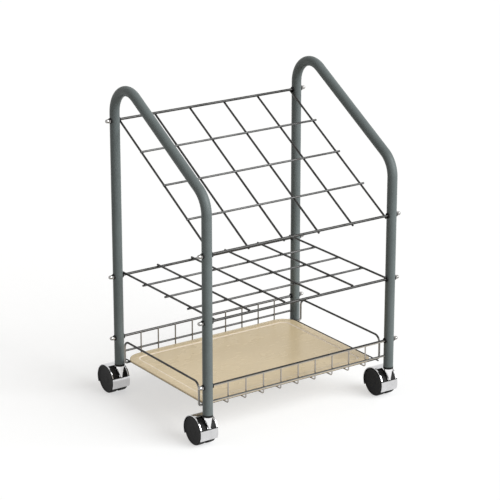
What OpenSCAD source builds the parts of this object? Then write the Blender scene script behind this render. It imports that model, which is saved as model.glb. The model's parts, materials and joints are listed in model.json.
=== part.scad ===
// Rolling wire file for rolled drawings: two bent tube side frames carry a sloped
// wire grid, a level wire grid and a wire basket with a loose tray, on four twin
// wheel casters. Millimetres, +Z up, +Y to the back. The origin is on the floor,
// at the centre of the four posts.

/* [Side frames] */
// Height of the top of the side frames above the floor
cart_h = 621; // [600:1:640]
// Distance between the left and the right post axes
frame_w = 415; // [395:1:440]
// Distance between the front and the back post axes
frame_d = 305; // [290:1:320]
// Outside diameter of the frame tube
tube_d = 19; // [17:0.5:20]
// Wall of the frame tube
tube_wall = 1.2; // [0.9:0.1:1.6]
// Centreline radius of the tube bends
bend_r = 50; // [42:1:58]
// Height of the open tube ends above the floor
foot_z = 64.5; // [62:0.5:68]

/* [Levels] */
// Height of the upper grid's back rod
upper_back_z = 547; // [535:1:552]
// Height of the upper grid's front rod
upper_front_z = 368; // [350:1:385]
// Height of the level grid's rods
middle_z = 242; // [225:1:265]
// Height of the basket's top rails
rail_z = 118.5; // [112:0.5:130]

/* [Grids] */
// Number of columns of roll pockets across the width
columns = 5; // [4:1:6]
// Number of rows of roll pockets across the depth
rows = 4; // [3:1:5]
// Diameter of the threaded end rods
rod_d = 5; // [4:0.5:6]
// Diameter of the grid wires
wire_d = 4; // [3:0.5:4.5]
// Length of cross wire left standing past the outermost crossing
wire_overhang = 5; // [3:0.5:7]
// Depth that welding presses one wire into another
weld_sink = 0.25; // [0.1:0.05:0.4]
// Gap between the outermost wires and the washers beside them
side_gap = 0.15; // [0.1:0.05:1]

/* [Basket] */
// Number of cradle wires across the width
cradle_count = 9; // [7:1:11]
// Distance between neighbouring cradle wires
cradle_pitch = 39.3; // [34:0.1:42]
// Distance that the cradle and end wires lie to the right of the middle
cradle_shift = -3.2; // [-4:0.1:4]
// Diameter of the cradle wires
cradle_d = 2.6; // [2:0.2:3.2]
// Centreline radius of the cradle wires' lower bends
cradle_bend_r = 4; // [3.5:0.5:5]
// Height of the cradle wires' level run
cradle_z = 74.6; // [72:0.2:80]
// Height of the lower rails
lower_rail_z = 87.5; // [86:0.5:96]
// Distance between the front and back legs of an end hoop
hoop_depth = 256; // [230:1:262]
// Distance that the end hoops lie behind the middle
hoop_shift = 4; // [-5:0.5:5]
// Height of an end hoop's top run
hoop_top_z = 116.5; // [110:0.5:124]
// Centreline radius of an end hoop's upper corners
hoop_corner_r = 14; // [9:0.5:18]
// Centreline radius of the bends at an end hoop's feet
hoop_foot_r = 4; // [3.5:0.5:6]
// Diameter of the two end wires under the tray's ends
end_wire_d = 2.6; // [2:0.1:2.6]
// Distance from the posts' axes in to the end wires
end_wire_inset = 11.5; // [11:0.5:17]
// Gap between the ends of the end wires and the posts
end_wire_gap = 1; // [0.5:0.5:6]

/* [Tray] */
// Play between the tray and the end hoop at each end, with the tray in the middle
tray_end_play = 12; // [12:0.5:24]
// Play between the tray and the cradle wires' uprights, with the tray in the middle
tray_side_play = 6.7; // [6.7:0.1:16]
// Thickness of the tray's floor
tray_wall = 2.5; // [1.6:0.1:3]
// Radius of the tray's corners
tray_corner_r = 28; // [28:1:44]
// Width of the raised margin around the tray's floor
tray_margin = 20.5; // [16:0.5:24]
// Height of the margin above the tray's floor
tray_rise = 1.1; // [0.6:0.1:3]
// Width of the sloped step between the floor and the margin
step_w = 4; // [1:0.5:5]
// Distance that the loose tray lies to the right of the middle
tray_x = -9.5; // [-9.5:0.5:9.5]
// Distance that the loose tray lies behind the middle
tray_y = 5; // [-5:0.5:5]

/* [Fasteners] */
// Width across the flats of a cap nut
nut_flats = 8; // [7.5:0.5:10]
// Length of a cap nut's hexagon
nut_hex_h = 4; // [3:0.5:5]
// Length of a cap nut with its dome
nut_h = 10; // [9:0.5:13]
// Outside diameter of a saddle washer
washer_d = 10.6; // [9.6:0.2:12]
// Thickness of a saddle washer at the tube's crown
washer_t = 0.9; // [0.6:0.1:1.5]

/* [Casters] */
// Diameter of a caster wheel
wheel_d = 55; // [50:1:56]
// Width of one wheel
wheel_w = 14; // [12:0.5:16]
// Distance from the stem's axis back to the wheels' axis
trail = 23.5; // [22:0.5:25]
// Thickness of the web between the two wheels
web_t = 6.4; // [5:0.2:8]
// Wall of the hood
hood_wall = 1.5; // [1.2:0.1:2]
// Running gap between a wheel and its hood
wheel_gap = 1; // [0.8:0.1:1.5]
// Height of the hood's lower edge below the wheels' axis
hood_skirt = 12.5; // [10:0.5:15]
// Height of the window's sill above the wheels' axis, as an angle
window_sill_a = 16; // [12:1:22]
// Height of the window's top edge above the wheels' axis, as an angle
window_top_a = 74; // [66:1:80]
// Diameter of the neck under the tube
neck_d = 15.8; // [14.5:0.1:17]
// Diameter of the stem
stem_d = 11; // [9:0.5:11.5]
// Length of stem that stands up into the socket
stem_up = 33; // [28:1:38]
// Diameter of the axle
axle_d = 6; // [5:0.5:8]
// Radial running gap of a stem in its socket and of a wheel on its axle
running_gap = 0.05; // [0.02:0.01:0.09]
// Gap between the neck and the socket above it
thrust_gap = 0.3; // [0.2:0.05:0.5]

/* [Hidden] */

// Number of facets asked for on round forms
$fn = 64;
// Small overrun that lets a cut pass clean through a face
cut = 1;

tube_r = tube_d / 2;
tube_bore_r = tube_r - tube_wall;
post_x = frame_w / 2;
post_y = frame_d / 2;

// The top tube runs parallel to the upper grid
slope_a = atan((upper_back_z - upper_front_z) / frame_d);
back_bend_z = cart_h - tube_r - bend_r;
slope_drop = (frame_d - 2 * bend_r) * tan(slope_a);
front_bend_z = back_bend_z - round(slope_drop * 100) / 100;
slope_run = (frame_d - 2 * bend_r) / cos(slope_a);
// The sloped run reaches a little way into both bends, inside their wall
run_lap = 1.5;
run_inset = 0.1;

rod_r = rod_d / 2;
wire_r = wire_d / 2;
// The outermost grid wires run just clear of the washers on the posts
grid_half_w = post_x - tube_r - washer_t - side_gap - wire_r;
column_pitch = 2 * grid_half_w / columns;
row_pitch = frame_d / rows;
column_x = [for (i = [0 : columns]) -grid_half_w + i * column_pitch];
row_y = [for (i = [0 : rows]) -post_y + i * row_pitch];
// Distance between the axes of a rod and of a wire that is welded across it
rod_step = rod_r + wire_r - weld_sink;
// Distance between the axes of a rod and of a thinner cross wire on the same wires
cross_step = rod_r - wire_r;
// Play of a rod in its hole
rod_play = 0.2;

// The rods reach through the posts and washers into the cap nuts
nut_face_x = post_x + tube_r + washer_t + running_gap;
nut_bore_depth = nut_h - 3.5;
rod_half_l = nut_face_x + nut_bore_depth - 1;
post_levels = [[post_y, upper_back_z], [-post_y, upper_front_z],
               [post_y, middle_z], [-post_y, middle_z],
               [post_y, rail_z], [-post_y, rail_z]];

// The cradle wires lie inside the rails and pass under the tray
cradle_r = cradle_d / 2;
cradle_y = post_y - rod_r - cradle_r + weld_sink;
lower_rail_y = cradle_y + cradle_r + wire_r - weld_sink;
cradle_top_z = rail_z + 1;
loop_z = cradle_z - cradle_r - wire_r + weld_sink;
lower_rail_half_l = post_x - tube_r - 0.4;
end_wire_z = loop_z + wire_r + end_wire_d / 2 - weld_sink;
end_wire_x = post_x - end_wire_inset;
end_wire_half_l = post_y - tube_r - end_wire_d / 2 - end_wire_gap;

// The tray lies between the end hoops and between the uprights
tray_w = 2 * (post_x - wire_r - tray_end_play);
tray_d = 2 * (cradle_y - cradle_r - tray_side_play);
tray_z = cradle_z + cradle_r;
tray_floor_r = tray_corner_r - tray_margin;

wheel_r = wheel_d / 2;
axle_z = wheel_r;
hood_in_r = wheel_r + wheel_gap;
hood_r = hood_in_r + hood_wall;
wheel_in_x = web_t / 2 + 0.7;
wheel_out_x = wheel_in_x + wheel_w;
hood_half_w = wheel_out_x + 0.6;
rim_t = 1.7;
socket_flange = 4;
socket_lip = 0.2;
socket_floor = 2;
socket_r = tube_bore_r - 0.1;
socket_bore_r = stem_d / 2 + running_gap;
neck_top_z = foot_z - socket_flange - thrust_gap;
neck_r = neck_d / 2;
stem_bottom_z = axle_z + sqrt(hood_in_r * hood_in_r - pow(trail - stem_d / 2, 2)) + 1.5;
stem_top_z = neck_top_z + stem_up;
groove_z = stem_top_z - 8;
groove_h = 2.4;
groove_depth = 1;
axle_half_l = wheel_out_x - 2;
hub_bore_end = axle_half_l + 0.4;

steel_c = [0.56, 0.57, 0.58];
tube_c = [0.42, 0.46, 0.46];
black_c = [0.09, 0.09, 0.09];
chrome_c = [0.8, 0.8, 0.8];
tray_c = [0.8, 0.73, 0.6];

// Straight round bar from point a to point b
module bar(a, b, r) {
    v = b - a;
    l = norm(v);
    translate(a)
        rotate([0, acos(v.z / l), atan2(v.y, v.x)])
            cylinder(h = l, r = r);
}

// Round bar along X, centred on x = 0, at depth y and height z
module x_bar(half_l, y, z, r) {
    translate([-half_l, y, z]) rotate([0, 90, 0]) cylinder(h = 2 * half_l, r = r);
}

// Bend of the section given as a child, in the plane of X = 0, about [y, z]
module yz_bend(centre, bend, start_a, turn_a) {
    translate([0, centre.x, centre.y])
        rotate([90, 0, 90])
            rotate([0, 0, start_a])
                rotate_extrude(angle = turn_a) translate([bend, 0]) children();
}

module tube_section(inset = 0) {
    difference() {
        circle(r = tube_r - inset);
        circle(r = tube_bore_r + inset);
    }
}

// Upright post at depth y, from the open foot up to the height of its bend
module post(y, top_z) {
    difference() {
        translate([0, y, foot_z])
            linear_extrude(height = top_z - foot_z) tube_section();
        for (p = post_levels)
            if (p.x == y) x_bar(tube_d, p.x, p.y, rod_r + rod_play);
    }
}

// One tube: the back post, the sloped top and the front post in one run
module side_frame(x) {
    bend_y = post_y - bend_r;
    color(tube_c)
        translate([x, 0, 0]) {
            post(post_y, back_bend_z);
            yz_bend([bend_y, back_bend_z], bend_r, 0, 90 + slope_a) tube_section();
            translate([0, -bend_y - bend_r * sin(slope_a), front_bend_z + bend_r * cos(slope_a)])
                rotate([slope_a - 90, 0, 0])
                    translate([0, 0, -run_lap])
                        linear_extrude(height = slope_run + 2 * run_lap)
                            tube_section(run_inset);
            mirror([0, 1, 0])
                yz_bend([bend_y, front_bend_z], bend_r, 0, 90 - slope_a) tube_section();
            post(-post_y, front_bend_z);
        }
}

module left_side_frame() { side_frame(-post_x); }

module right_side_frame() { side_frame(post_x); }

module upper_grid_end_rods() {
    color(steel_c) {
        x_bar(rod_half_l, post_y, upper_back_z, rod_r);
        x_bar(rod_half_l, -post_y, upper_front_z, rod_r);
    }
}

// A point in the plane of the upper grid: y along the depth, lifted square to the slope
function on_slope(x, y, lift) = [
    x,
    y - lift * sin(slope_a),
    upper_back_z - (post_y - y) * tan(slope_a) + lift * cos(slope_a)];

module upper_grid_cross_wires() {
    color(steel_c)
        for (i = [1 : rows - 1])
            bar(on_slope(-grid_half_w - wire_overhang, row_y[i], -cross_step),
                on_slope(grid_half_w + wire_overhang, row_y[i], -cross_step), wire_r);
}

// The wires down the slope hang under the rods and end flush with them
module upper_grid_slope_wires() {
    reach = post_y + rod_r * cos(slope_a);
    color(steel_c)
        for (x = column_x)
            bar(on_slope(x, -reach, -rod_step), on_slope(x, reach, -rod_step), wire_r);
}

module middle_grid_end_rods() {
    color(steel_c)
        for (y = [-post_y, post_y]) x_bar(rod_half_l, y, middle_z, rod_r);
}

module middle_grid_cross_wires() {
    color(steel_c)
        for (i = [1 : rows - 1])
            x_bar(grid_half_w + wire_overhang, row_y[i], middle_z + cross_step, wire_r);
}

// The wires along the depth lie on the rods and end flush with them
module middle_grid_depth_wires() {
    reach = post_y + rod_r;
    color(steel_c)
        for (x = column_x)
            bar([x, -reach, middle_z + rod_step], [x, reach, middle_z + rod_step], wire_r);
}

module basket_top_rails() {
    color(steel_c)
        for (y = [-post_y, post_y]) x_bar(rod_half_l, y, rail_z, rod_r);
}

module basket_lower_rails() {
    color(steel_c)
        for (y = [-lower_rail_y, lower_rail_y])
            x_bar(lower_rail_half_l, y, lower_rail_z, wire_r);
}

// One wire, bent up at both ends, that carries the tray and forms two pickets
module cradle_wire(x) {
    run = cradle_y - cradle_bend_r;
    knee_z = cradle_z + cradle_bend_r;
    translate([x, 0, 0]) {
        bar([0, -run, cradle_z], [0, run, cradle_z], cradle_r);
        yz_bend([run, knee_z], cradle_bend_r, -90, 90) circle(r = cradle_r);
        yz_bend([-run, knee_z], cradle_bend_r, 180, 90) circle(r = cradle_r);
        for (y = [-cradle_y, cradle_y])
            bar([0, y, knee_z], [0, y, cradle_top_z], cradle_r);
    }
}

module basket_cradle_wires() {
    first_x = cradle_shift - cradle_pitch * (cradle_count - 1) / 2;
    color(steel_c)
        for (i = [0 : cradle_count - 1]) cradle_wire(first_x + i * cradle_pitch);
}

// Two straight wires under the tray, from the foot of one hoop to the other's
module basket_base_wires() {
    color(steel_c)
        for (y = [hoop_shift - hoop_depth / 2, hoop_shift + hoop_depth / 2])
            x_bar(post_x - hoop_foot_r, y, loop_z, wire_r);
}

// Half of the right end hoop: top run, upper corner, leg and turned-in foot
module hoop_half() {
    leg_y = hoop_depth / 2;
    corner_z = hoop_top_z - hoop_corner_r;
    knee_z = loop_z + hoop_foot_r;
    translate([post_x, 0, 0]) {
        bar([0, 0, hoop_top_z], [0, leg_y - hoop_corner_r, hoop_top_z], wire_r);
        yz_bend([leg_y - hoop_corner_r, corner_z], hoop_corner_r, 0, 90) circle(r = wire_r);
        bar([0, leg_y, knee_z], [0, leg_y, corner_z], wire_r);
        translate([-hoop_foot_r, leg_y, knee_z])
            rotate([90, 0, 0])
                rotate([0, 0, -90])
                    rotate_extrude(angle = 90) translate([hoop_foot_r, 0]) circle(r = wire_r);
    }
}

module basket_right_hoop() {
    color(steel_c)
        translate([0, hoop_shift, 0])
            for (my = [0, 1]) mirror([0, my, 0]) hoop_half();
}

module basket_left_hoop() { mirror([1, 0, 0]) basket_right_hoop(); }

module basket_end_wires() {
    color(steel_c)
        for (x = [cradle_shift - end_wire_x, cradle_shift + end_wire_x])
            bar([x, -end_wire_half_l, end_wire_z], [x, end_wire_half_l, end_wire_z],
                end_wire_d / 2);
}

// Section of the tray's raised margin, measured out from a corner's centre
module margin_section() {
    inner = tray_floor_r;
    edge_r = tray_wall / 2;
    rim_x = tray_corner_r - edge_r;
    polygon([[inner, 0], [rim_x, 0], [rim_x, tray_wall + tray_rise],
             [inner + step_w, tray_wall + tray_rise], [inner, tray_wall]]);
    translate([rim_x, edge_r]) circle(r = edge_r);
    translate([rim_x - cut, edge_r]) square([edge_r + cut, tray_rise]);
    translate([rim_x, edge_r + tray_rise]) circle(r = edge_r);
}

module tray() {
    half_w = tray_w / 2 - tray_corner_r;
    half_d = tray_d / 2 - tray_corner_r;
    sides = [[0, half_w, half_d], [90, half_d, half_w],
             [180, half_w, half_d], [270, half_d, half_w]];
    color(tray_c)
        translate([tray_x, tray_y, tray_z]) {
            linear_extrude(height = tray_wall)
                union() {
                    square([2 * (half_w + tray_floor_r), 2 * half_d], center = true);
                    square([2 * half_w, 2 * (half_d + tray_floor_r)], center = true);
                    for (x = [-half_w, half_w], y = [-half_d, half_d])
                        translate([x, y]) circle(r = tray_floor_r);
                }
            for (s = sides)
                rotate([0, 0, s[0]]) {
                    translate([s[1], -s[2], 0])
                        rotate([90, 0, 180])
                            mirror([1, 0, 0])
                                linear_extrude(height = 2 * s[2]) margin_section();
                    translate([s[1], s[2], 0]) rotate_extrude(angle = 90) margin_section();
                }
        }
}

// Saddle washers on both sides of every post of one side frame
module saddle_washers(x) {
    color(black_c)
        for (p = post_levels)
            translate([x, p.x, p.y])
                difference() {
                    x_bar(tube_r + washer_t, 0, 0, washer_d / 2);
                    translate([0, 0, -washer_d])
                        cylinder(h = 2 * washer_d, r = tube_r + running_gap);
                    x_bar(tube_d, 0, 0, rod_r + rod_play);
                }
}

module left_saddle_washers() { saddle_washers(-post_x); }

module right_saddle_washers() { saddle_washers(post_x); }

// Cap nut along +Z: a hexagon, a collar and a dome, with a blind bore
module cap_nut() {
    dome_r = nut_flats / 2 - 0.3;
    difference() {
        union() {
            intersection() {
                cylinder(h = nut_hex_h, d = nut_flats / cos(30), $fn = 6);
                cylinder(h = nut_hex_h, r1 = nut_flats / 2 + 1.2, r2 = nut_flats / 2 + 0.2);
            }
            cylinder(h = nut_h - dome_r, r = dome_r);
            translate([0, 0, nut_h - dome_r]) sphere(r = dome_r);
        }
        translate([0, 0, -cut]) cylinder(h = nut_bore_depth + cut, r = rod_r);
    }
}

module cap_nuts(side) {
    color(chrome_c)
        for (p = post_levels)
            translate([side * nut_face_x, p.x, p.y]) rotate([0, side * 90, 0]) cap_nut();
}

module left_cap_nuts() { cap_nuts(-1); }

module right_cap_nuts() { cap_nuts(1); }

// Places its children at a post: side -1 or 1 in X, row -1 or 1 in Y
module at_post(side, row) {
    translate([side * post_x, row * post_y, 0]) children();
}

// Plastic sockets pressed into the four tube ends
module caster_sockets() {
    bore_h = socket_flange + stem_up + socket_floor;
    color(black_c)
        for (side = [-1, 1], row = [-1, 1])
            at_post(side, row)
                translate([0, 0, foot_z - socket_flange])
                    difference() {
                        union() {
                            cylinder(h = socket_flange, r = tube_r + socket_lip);
                            cylinder(h = bore_h + socket_floor, r = socket_r);
                        }
                        translate([0, 0, -cut]) cylinder(h = bore_h + cut, r = socket_bore_r);
                    }
}

module caster_stem() {
    color(steel_c)
        translate([0, -trail, 0])
            difference() {
                union() {
                    translate([0, 0, stem_bottom_z])
                        cylinder(h = stem_top_z - stem_bottom_z - 1.5, r = stem_d / 2);
                    translate([0, 0, stem_top_z - 1.5])
                        cylinder(h = 1.5, r1 = stem_d / 2, r2 = stem_d / 2 - 1.5);
                }
                translate([0, 0, groove_z])
                    difference() {
                        cylinder(h = groove_h, r = stem_d);
                        translate([0, 0, -cut])
                            cylinder(h = groove_h + 2 * cut, r = stem_d / 2 - groove_depth);
                    }
            }
}

// Split ring in the stem's groove, which grips the socket
module caster_grip_ring() {
    ring_h = groove_h - 0.4;
    color(steel_c)
        translate([0, -trail, groove_z + 0.2])
            difference() {
                cylinder(h = ring_h, r = stem_d / 2 - 0.1);
                translate([0, 0, -cut])
                    cylinder(h = ring_h + 2 * cut, r = stem_d / 2 - groove_depth + 0.05);
                translate([0, -1, -cut]) cube([stem_d, 2, ring_h + 2 * cut]);
            }
}

// Side view of the hood's front window, between its sill and its top edge
module window_section() {
    reach = 2 * hood_r;
    mid_a = (window_sill_a + window_top_a) / 2;
    difference() {
        polygon([[0, 0],
                 for (a = [window_sill_a, mid_a, window_top_a]) [-cos(a), sin(a)] * reach]);
        circle(r = hood_in_r - cut);
    }
}

// Neck under the tube, drawn down to a point at the front of the hood
module hood_neck() {
    tip_z = axle_z + hood_r * sin(window_sill_a);
    tip_r = 0.8;
    waist_r = neck_r - 0.8;
    disc_h = 0.4;
    collar_z = neck_top_z - 4;
    translate([0, -trail, collar_z]) cylinder(h = neck_top_z - collar_z, r = neck_r);
    hull() {
        translate([0, -trail, collar_z - disc_h / 2]) cylinder(h = disc_h, r = neck_r, $fn = 32);
        translate([0, -trail, collar_z - 4]) cylinder(h = disc_h, r = waist_r, $fn = 32);
        translate([0, -hood_r, tip_z]) sphere(r = tip_r, $fn = 16);
        translate([0, -trail, tip_z + 2]) sphere(r = tip_r, $fn = 16);
    }
}

module caster_hood() {
    window_w = hood_half_w - rim_t - web_t / 2;
    window_x = web_t / 2 + window_w / 2;
    color(chrome_c)
        difference() {
            union() {
                difference() {
                    x_bar(hood_half_w, 0, axle_z, hood_r);
                    for (side = [-1, 1])
                        translate([side * window_x, 0, axle_z])
                            rotate([90, 0, 90])
                                linear_extrude(height = window_w, center = true) window_section();
                }
                hood_neck();
            }
            for (side = [-1, 1])
                translate([side * (web_t / 2 + hood_half_w), 0, 0])
                    x_bar(hood_half_w, 0, axle_z, hood_in_r);
            translate([-2 * hood_half_w, -2 * hood_r, axle_z - hood_skirt - 2 * hood_r])
                cube([4 * hood_half_w, 4 * hood_r, 2 * hood_r]);
            translate([0, -trail, stem_bottom_z]) cylinder(h = stem_up, r = stem_d / 2);
            x_bar(web_t, 0, axle_z, axle_d / 2);
        }
}

module caster_axle() {
    color(steel_c) x_bar(axle_half_l, 0, axle_z, axle_d / 2);
}

// Half section of a wheel: radius against distance from the caster's middle
module wheel_section() {
    tread_round = 3;
    edge = 1;
    dish = 0.6;
    dish_r = wheel_r - 4;
    difference() {
        union() {
            polygon([[0, wheel_in_x], [wheel_r - edge, wheel_in_x], [wheel_r, wheel_in_x + edge],
                     [wheel_r, wheel_out_x - tread_round], [wheel_r - tread_round, wheel_out_x],
                     [dish_r, wheel_out_x], [dish_r - edge, wheel_out_x - dish],
                     [0, wheel_out_x - dish]]);
            intersection() {
                translate([wheel_r - tread_round, wheel_out_x - tread_round])
                    circle(r = tread_round);
                translate([wheel_r - tread_round, wheel_out_x - tread_round])
                    square(tread_round);
            }
        }
        translate([0, wheel_in_x - cut])
            square([axle_d / 2 + running_gap, hub_bore_end - wheel_in_x + cut]);
    }
}

// One wheel of the pair, on the side given by side = -1 or 1
module caster_wheel(side) {
    color(black_c)
        translate([0, 0, axle_z]) rotate([0, side * 90, 0]) rotate_extrude() wheel_section();
}

// The pieces of each caster, moved from the wheels' axis to the post above
module caster_at(side, row) {
    at_post(side, row) translate([0, trail, 0]) children();
}

module front_left_caster_stem() { caster_at(-1, -1) caster_stem(); }

module front_left_caster_grip_ring() { caster_at(-1, -1) caster_grip_ring(); }

module front_left_caster_hood() { caster_at(-1, -1) caster_hood(); }

module front_left_caster_axle() { caster_at(-1, -1) caster_axle(); }

module front_left_caster_left_wheel() { caster_at(-1, -1) caster_wheel(-1); }

module front_left_caster_right_wheel() { caster_at(-1, -1) caster_wheel(1); }

module front_right_caster_stem() { caster_at(1, -1) caster_stem(); }

module front_right_caster_grip_ring() { caster_at(1, -1) caster_grip_ring(); }

module front_right_caster_hood() { caster_at(1, -1) caster_hood(); }

module front_right_caster_axle() { caster_at(1, -1) caster_axle(); }

module front_right_caster_left_wheel() { caster_at(1, -1) caster_wheel(-1); }

module front_right_caster_right_wheel() { caster_at(1, -1) caster_wheel(1); }

module back_left_caster_stem() { caster_at(-1, 1) caster_stem(); }

module back_left_caster_grip_ring() { caster_at(-1, 1) caster_grip_ring(); }

module back_left_caster_hood() { caster_at(-1, 1) caster_hood(); }

module back_left_caster_axle() { caster_at(-1, 1) caster_axle(); }

module back_left_caster_left_wheel() { caster_at(-1, 1) caster_wheel(-1); }

module back_left_caster_right_wheel() { caster_at(-1, 1) caster_wheel(1); }

module back_right_caster_stem() { caster_at(1, 1) caster_stem(); }

module back_right_caster_grip_ring() { caster_at(1, 1) caster_grip_ring(); }

module back_right_caster_hood() { caster_at(1, 1) caster_hood(); }

module back_right_caster_axle() { caster_at(1, 1) caster_axle(); }

module back_right_caster_left_wheel() { caster_at(1, 1) caster_wheel(-1); }

module back_right_caster_right_wheel() { caster_at(1, 1) caster_wheel(1); }

left_side_frame();
right_side_frame();
upper_grid_end_rods();
upper_grid_cross_wires();
upper_grid_slope_wires();
middle_grid_end_rods();
middle_grid_cross_wires();
middle_grid_depth_wires();
basket_top_rails();
basket_lower_rails();
basket_cradle_wires();
basket_base_wires();
basket_left_hoop();
basket_right_hoop();
basket_end_wires();
tray();
left_saddle_washers();
right_saddle_washers();
left_cap_nuts();
right_cap_nuts();
caster_sockets();
front_left_caster_stem();
front_left_caster_grip_ring();
front_left_caster_hood();
front_left_caster_axle();
front_left_caster_left_wheel();
front_left_caster_right_wheel();
front_right_caster_stem();
front_right_caster_grip_ring();
front_right_caster_hood();
front_right_caster_axle();
front_right_caster_left_wheel();
front_right_caster_right_wheel();
back_left_caster_stem();
back_left_caster_grip_ring();
back_left_caster_hood();
back_left_caster_axle();
back_left_caster_left_wheel();
back_left_caster_right_wheel();
back_right_caster_stem();
back_right_caster_grip_ring();
back_right_caster_hood();
back_right_caster_axle();
back_right_caster_left_wheel();
back_right_caster_right_wheel();
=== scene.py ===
"""Looks of a rolling wire file for rolled drawings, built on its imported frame.

Every length is in metres, +Z is up, +Y is the back and the origin is on the
floor between the four posts, as in the frame. A finish gives each noise as a
pair of numbers: its waves to the metre and its octaves.
"""

import json
import logging
import math
from dataclasses import dataclass, field
from enum import Enum
from functools import cached_property
from typing import Any, Callable, Iterable, Optional, Sequence

import bmesh
import bpy
from mathutils import Matrix, Vector

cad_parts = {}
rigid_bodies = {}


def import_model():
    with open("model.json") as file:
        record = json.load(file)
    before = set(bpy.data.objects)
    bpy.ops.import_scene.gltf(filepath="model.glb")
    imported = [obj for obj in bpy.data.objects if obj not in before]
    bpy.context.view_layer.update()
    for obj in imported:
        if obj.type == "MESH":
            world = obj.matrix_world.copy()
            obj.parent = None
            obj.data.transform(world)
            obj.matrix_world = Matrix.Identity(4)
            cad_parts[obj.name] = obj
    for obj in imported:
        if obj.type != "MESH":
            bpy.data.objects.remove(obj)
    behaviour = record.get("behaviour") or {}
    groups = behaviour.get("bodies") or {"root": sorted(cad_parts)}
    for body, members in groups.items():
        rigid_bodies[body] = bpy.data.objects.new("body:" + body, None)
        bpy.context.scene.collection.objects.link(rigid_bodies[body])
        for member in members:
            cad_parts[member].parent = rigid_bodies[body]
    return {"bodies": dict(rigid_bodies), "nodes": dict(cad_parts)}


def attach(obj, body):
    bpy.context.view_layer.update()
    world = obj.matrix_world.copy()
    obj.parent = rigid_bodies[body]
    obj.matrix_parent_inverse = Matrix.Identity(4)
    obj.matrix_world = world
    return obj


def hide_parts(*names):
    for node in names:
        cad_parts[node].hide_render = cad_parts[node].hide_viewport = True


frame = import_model()


def clear_start_up_objects() -> None:
    """Removes the objects that Blender starts with, and keeps the frame's."""
    kept = set(frame["nodes"].values()) | set(frame["bodies"].values())
    for thing in list(bpy.data.objects):
        if thing not in kept:
            bpy.data.objects.remove(thing)


clear_start_up_objects()
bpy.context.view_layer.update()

LOG = logging.getLogger("wire_file")
MM = 0.001
Colour = tuple[float, float, float]
Pair = tuple[float, float]
Point = tuple[float, float, float]
Mesh = bpy.types.Mesh
Socket = bpy.types.NodeSocket
Waves = tuple[float, float]
Surface = tuple[Socket, "Number", Socket]

CHASSIS = "chassis"
WIRE = "wire_chrome"
WHITE: Colour = (1.0, 1.0, 1.0)
SOOT: Colour = (0.007, 0.007, 0.007)
EVEN: Point = (1.0, 1.0, 1.0)
POST_X = 207.5 * MM
POST_Y = 152.5 * MM
ROD_HALF = 223.45 * MM
UPPER_BACK_Z = 547.0 * MM
UPPER_FRONT_Z = 368.0 * MM
MIDDLE_Z = 242.0 * MM
RAIL_Z = 118.5 * MM
TIP_RADIUS = 1e-7
NOISE_ROUGHNESS = 0.55
CELL_SMOOTHNESS = 0.6
BEAD_SPREAD: Pair = (0.88, 1.08)


class Layer(Enum):
    """Where a grid's long wires lie on its rods: the sign of their lift."""

    ABOVE = 1
    BELOW = -1


class NodeSheet:
    """A node tree with one method that adds any node."""

    def __init__(self, tree: bpy.types.NodeTree) -> None:
        """Takes over a tree and empties it."""
        self.tree = tree
        self.tree.nodes.clear()

    def node(self, kind: str, inputs: Optional[dict[Any, Any]] = None,
             **settings: Any) -> bpy.types.Node:
        """Adds a node.

        Args:
            kind: The node's type name.
            inputs: Values or links of its sockets, by name or number.
            settings: Its properties, set first.

        Returns:
            The new node.
        """
        made = self.tree.nodes.new(kind)
        for key, value in settings.items():
            setattr(made, key, value)
        for key, value in (inputs or {}).items():
            self.put(made.inputs[key], value)
        return made

    def put(self, socket: Socket, value: Any) -> None:
        """Links a socket, or sets a plain value.

        Args:
            socket: The input to fill.
            value: A socket, a Number, a node for its first output, or a plain value.
        """
        if isinstance(value, Number):
            value = value.socket
        elif isinstance(value, bpy.types.Node):
            value = value.outputs[0]
        if isinstance(value, Socket):
            self.tree.links.new(value, socket)
        elif isinstance(value, tuple) and len(value) == 3 and socket.type == "RGBA":
            socket.default_value = (*value, 1.0)
        else:
            socket.default_value = value


def operator(operation: str, swapped: bool = False) -> Callable[["Number", Any], "Number"]:
    """Makes one of the methods by which a Number computes.

    Args:
        operation: The Math node's operation.
        swapped: Whether the other value comes first.

    Returns:
        The method.
    """
    def method(self: "Number", other: Any) -> "Number":
        """Adds one Math node and wraps its result."""
        values = (other, self) if swapped else (self, other)
        made = self.sheet.node("ShaderNodeMath", dict(enumerate(values)),
                               operation=operation)
        return Number(self.sheet, made.outputs[0])
    return method


class Number:
    """A shader value: an expression on it adds the Math nodes it needs."""

    def __init__(self, sheet: NodeSheet, socket: Socket) -> None:
        """Wraps an output socket of a sheet."""
        self.sheet = sheet
        self.socket = socket

    __add__ = operator("ADD")
    __radd__ = operator("ADD", True)
    __sub__ = operator("SUBTRACT")
    __rsub__ = operator("SUBTRACT", True)
    __mul__ = operator("MULTIPLY")
    __rmul__ = operator("MULTIPLY", True)
    or_more = operator("MAXIMUM")


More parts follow.
